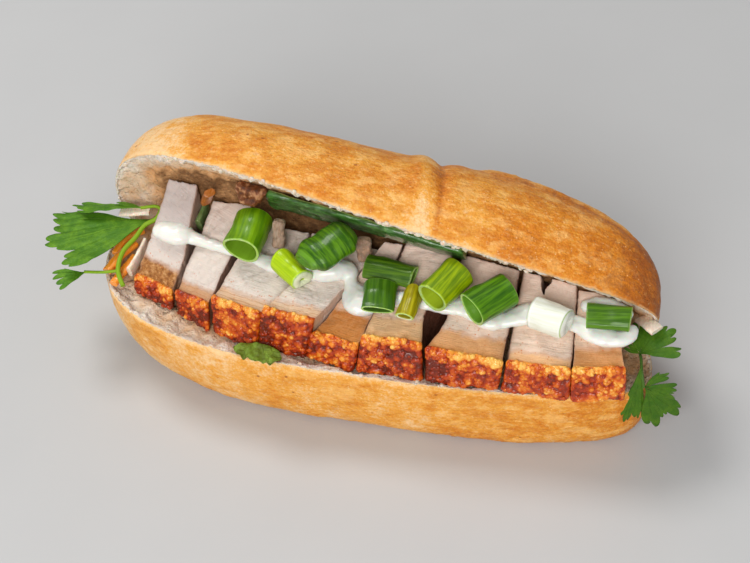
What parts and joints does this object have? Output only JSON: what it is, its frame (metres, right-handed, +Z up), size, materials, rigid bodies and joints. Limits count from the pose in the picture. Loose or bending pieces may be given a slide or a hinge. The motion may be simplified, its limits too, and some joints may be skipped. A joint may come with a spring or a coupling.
{
  "type": "crispy pork baguette sandwich",
  "caption": "Split crusty bread roll held open by a row of crackling roast pork slices, topped with spring onion rings, a mayonnaise drizzle and coriander.",
  "frame": {"origin": "centre of the flat underside of the roll, on the resting plane", "axes": "+X along the roll, -Y towards the open side with the pork showing, +Z up"},
  "size_m": [0.2302, 0.0892, 0.0841],
  "materials": {
    "bread_crust": null,
    "roast_pork": null,
    "roasted_edge": null,
    "onion_green": null,
    "onion_dark": null,
    "onion_yellow": null,
    "onion_white": null,
    "mayonnaise": null,
    "cucumber_skin": null,
    "coriander_leaf": null,
    "salad_leaf": null,
    "pickled_carrot": null,
    "pickled_radish": null
  },
  "bodies": {
    "root": {"bread_roll": "bread_crust", "pork_slice_1": "roast_pork", "pork_slice_2": "roast_pork", "pork_slice_3": "roast_pork", "pork_slice_4": "roast_pork", "pork_slice_5": "roast_pork", "pork_slice_6": "roast_pork", "pork_slice_7": "roast_pork", "pork_slice_8": "roast_pork", "pork_slice_9": "roast_pork", "pork_end_1": "roasted_edge", "pork_end_2": "roast_pork", "pork_end_3": "roast_pork", "spring_onion_1": "onion_green", "spring_onion_2": "onion_yellow", "spring_onion_3": "onion_dark", "spring_onion_4": "onion_dark", "spring_onion_5": "onion_dark", "spring_onion_6": "onion_yellow", "spring_onion_7": "onion_green", "spring_onion_8": "onion_green", "spring_onion_9": "onion_white", "spring_onion_10": "onion_green", "cucumber_baton": "cucumber_skin", "mayonnaise": "mayonnaise", "coriander_left": "coriander_leaf", "coriander_right": "coriander_leaf", "salad_leaf": "salad_leaf", "carrot_strip_1": "pickled_carrot", "carrot_strip_2": "pickled_carrot", "carrot_strip_3": "pickled_carrot", "carrot_strip_4": "pickled_carrot", "cucumber_strip_1": "cucumber_skin", "radish_strip_1": "pickled_radish", "radish_strip_2": "pickled_radish", "radish_strip_3": "pickled_radish"}
  },
  "joints": []
}
